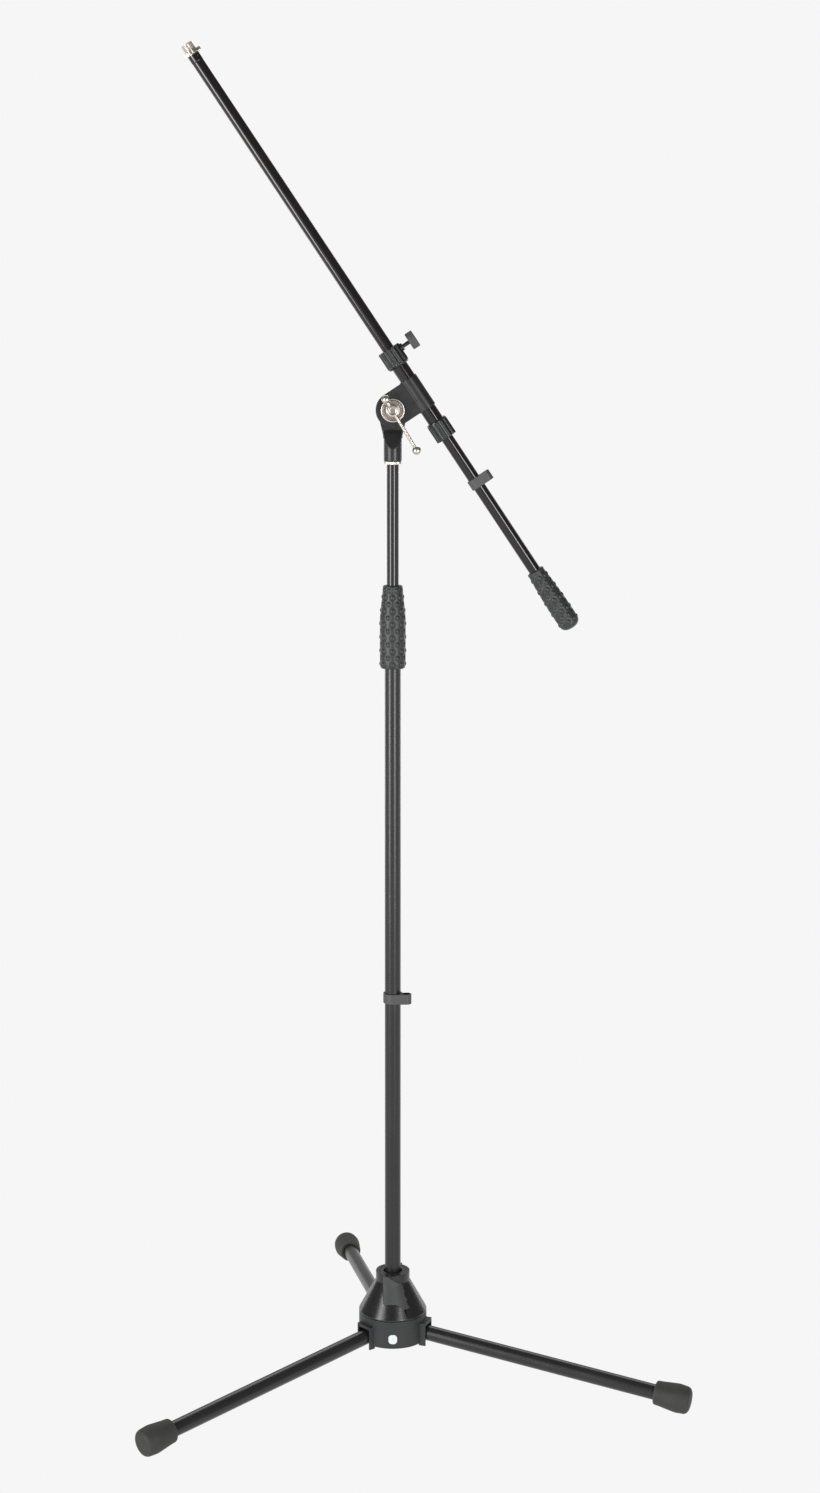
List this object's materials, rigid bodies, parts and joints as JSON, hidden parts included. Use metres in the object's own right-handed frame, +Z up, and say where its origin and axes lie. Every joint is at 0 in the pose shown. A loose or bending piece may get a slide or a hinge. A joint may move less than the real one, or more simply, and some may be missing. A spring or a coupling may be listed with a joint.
{
  "type": "boom microphone stand",
  "caption": "Folding tripod stand with a telescopic mast, a tilting clamp knuckle and a sliding boom arm that ends in a microphone thread.",
  "frame": {"origin": "point on the floor under the mast's axis", "axes": "+Z up along the mast, the boom lies in the XZ plane with its tip towards -X, and the clamp screw faces -Y"},
  "size_m": [0.6765, 0.6461, 1.6691],
  "materials": {
    "cast_black": "matt sprayed zinc casting",
    "cast_black_gloss": "satin black zinc casting",
    "satin_black_steel": "satin black powder coat on steel tube",
    "gloss_black_steel": "gloss black enamel on steel tube",
    "gloss_black_moulding": "moulded gloss black",
    "collar_nylon": "satin black nylon",
    "black_nylon": "black nylon",
    "white_acetal": "natural acetal",
    "grey_nylon": "dark grey moulded nylon",
    "grip_rubber": "dimpled grip rubber",
    "foot_rubber": "matt moulded rubber",
    "nickel_plate": "bright nickel plate",
    "zinc_steel": "zinc plated steel",
    "black_screw": "blackened steel",
    "fibre_disc": "pressed fibre friction disc",
    "brass_pad": "turned brass",
    "badge_metal": "plain blank badge"
  },
  "bodies": {
    "base": {"leg_housing": "cast_black", "leg_pivot_pins": "zinc_steel", "front_badge": "badge_metal", "mast_base_washer": "zinc_steel", "mast_base_bolt": "zinc_steel", "mast_base_plug": "zinc_steel", "mast_lower_tube": "satin_black_steel", "clutch_socket": "black_nylon"},
    "locking_cone": {"locking_cone": "gloss_black_moulding"},
    "clamp_plate": {"leg_clamp_plate": "black_nylon"},
    "leg_1": {"leg_heel_1": "cast_black", "leg_tube_1": "satin_black_steel", "foot_cap_1": "foot_rubber"},
    "leg_2": {"leg_heel_2": "cast_black", "leg_tube_2": "satin_black_steel", "foot_cap_2": "foot_rubber"},
    "leg_3": {"leg_heel_3": "cast_black", "leg_tube_3": "satin_black_steel", "foot_cap_3": "foot_rubber"},
    "mast_clutch": {"clutch_sleeve": "black_nylon", "mast_grip": "grip_rubber"},
    "mast_collet": {"clutch_collet": "white_acetal"},
    "upper_mast": {"mast_upper_tube": "gloss_black_steel", "mast_glide_bush": "white_acetal", "mast_top_stud": "zinc_steel", "neck_lock_ring": "nickel_plate", "pivot_yoke": "cast_black_gloss", "clamp_nut": "zinc_steel", "friction_disc": "fibre_disc"},
    "clamp_screw": {"clamp_screw": "nickel_plate", "clamp_cup_washer": "nickel_plate"},
    "tommy_bar": {"tommy_bar": "nickel_plate", "tommy_bar_balls": "nickel_plate"},
    "boom_holder": {"boom_holder": "cast_black_gloss", "boom_sleeve": "gloss_black_steel", "boom_front_bush": "white_acetal", "boom_front_collar": "collar_nylon"},
    "rear_collar": {"boom_rear_collar": "collar_nylon"},
    "boom_collet": {"boom_rear_collet": "white_acetal"},
    "screw_pad": {"boom_screw_pad": "brass_pad"},
    "thumb_screw": {"boom_screw": "black_screw", "boom_screw_knob": "grey_nylon"},
    "boom": {"boom_tube": "gloss_black_steel", "boom_end_plug": "black_nylon", "boom_grip": "grip_rubber", "boom_end_insert": "zinc_steel", "thread_adapter": "nickel_plate"},
    "lock_nut": {"thread_lock_nut": "nickel_plate"},
    "mast_clip": {"mast_cable_clip": "grey_nylon"},
    "boom_clip": {"boom_cable_clip": "grey_nylon"}
  },
  "joints": [
    {"name": "leg_1_fold", "type": "hinge", "parent": "base", "child": "leg_1", "pos_m": [0.02819, -0.01026, 0.05465], "axis": [0.342, 0.9397, 0], "range_deg": [0, 83.66]},
    {"name": "leg_2_fold", "type": "hinge", "parent": "base", "child": "leg_2", "pos_m": [-0.02298, -0.01928, 0.05465], "axis": [0.6428, -0.766, 0], "range_deg": [0, 83.66]},
    {"name": "leg_3_fold", "type": "hinge", "parent": "base", "child": "leg_3", "pos_m": [-0.00521, 0.02954, 0.05465], "axis": [-0.9848, -0.1736, 0], "range_deg": [0, 83.66]},
    {"name": "locking_cone_turn", "type": "hinge", "parent": "base", "child": "locking_cone", "pos_m": [0, 0, 0.07755], "axis": [0, 0, 1], "range_deg": [0, 180]},
    {"name": "clamp_plate_lift", "type": "slide", "parent": "base", "child": "clamp_plate", "axis": [0, 0, 1], "range_m": [0, 0.00151]},
    {"name": "mast_clutch_turn", "type": "hinge", "parent": "base", "child": "mast_clutch", "pos_m": [0, 0, 0.90505], "axis": [0, 0, 1], "range_deg": [0, 90]},
    {"name": "mast_swivel", "type": "hinge", "parent": "base", "child": "mast_collet", "pos_m": [0, 0, 0.95635], "axis": [0, 0, 1], "continuous": true},
    {"name": "mast_slide", "type": "slide", "parent": "mast_collet", "child": "upper_mast", "axis": [0, 0, 1], "range_m": [-0.145, 0.51]},
    {"name": "boom_tilt", "type": "hinge", "parent": "upper_mast", "child": "boom_holder", "pos_m": [0, 0, 1.22465], "axis": [0, 1, 0], "range_deg": [-146.4, 33.6]},
    {"name": "clamp_screw_turn", "type": "hinge", "parent": "upper_mast", "child": "clamp_screw", "pos_m": [0, 0, 1.22465], "axis": [0, -1, 0], "range_deg": [0, 180]},
    {"name": "tommy_bar_slide", "type": "slide", "parent": "clamp_screw", "child": "tommy_bar", "axis": [0.518, 0, -0.8554], "range_m": [-0.0442, 0.004]},
    {"name": "boom_roll", "type": "hinge", "parent": "boom_holder", "child": "boom_collet", "pos_m": [0.05824, 0, 1.20296], "axis": [-0.5534, 0, 0.8329], "continuous": true},
    {"name": "boom_slide", "type": "slide", "parent": "boom_collet", "child": "boom", "axis": [-0.5534, 0, 0.8329], "range_m": [-0.41, 0.055]},
    {"name": "rear_collar_turn", "type": "hinge", "parent": "boom_holder", "child": "rear_collar", "pos_m": [0.05254, 0, 1.21154], "axis": [-0.5534, 0, 0.8329], "range_deg": [0, 90]},
    {"name": "thumb_screw_turn", "type": "hinge", "parent": "screw_pad", "child": "thumb_screw", "pos_m": [0.01988, 0, 1.3075], "axis": [0.8329, 0, 0.5534], "range_deg": [0, 720]},
    {"name": "thumb_screw_travel", "type": "slide", "parent": "boom_holder", "child": "screw_pad", "axis": [0.8329, 0, 0.5534], "range_m": [0, 0.00201]},
    {"name": "lock_nut_turn", "type": "hinge", "parent": "boom", "child": "lock_nut", "pos_m": [-0.24067, 0, 1.65285], "axis": [-0.5534, 0, 0.8329], "range_deg": [0, 360]},
    {"name": "mast_clip_slide", "type": "slide", "parent": "base", "child": "mast_clip", "axis": [0, 0, 1], "range_m": [-0.34, 0.41]},
    {"name": "boom_clip_slide", "type": "slide", "parent": "boom", "child": "boom_clip", "axis": [-0.5534, 0, 0.8329], "range_m": [-0.12, 0]}
  ],
  "couplings": [
    {"joint": "clamp_plate_lift", "follows": "locking_cone_turn", "m_per_rad": 0.00047746},
    {"joint": "thumb_screw_travel", "follows": "thumb_screw_turn", "m_per_rad": 0.00015915}
  ]
}
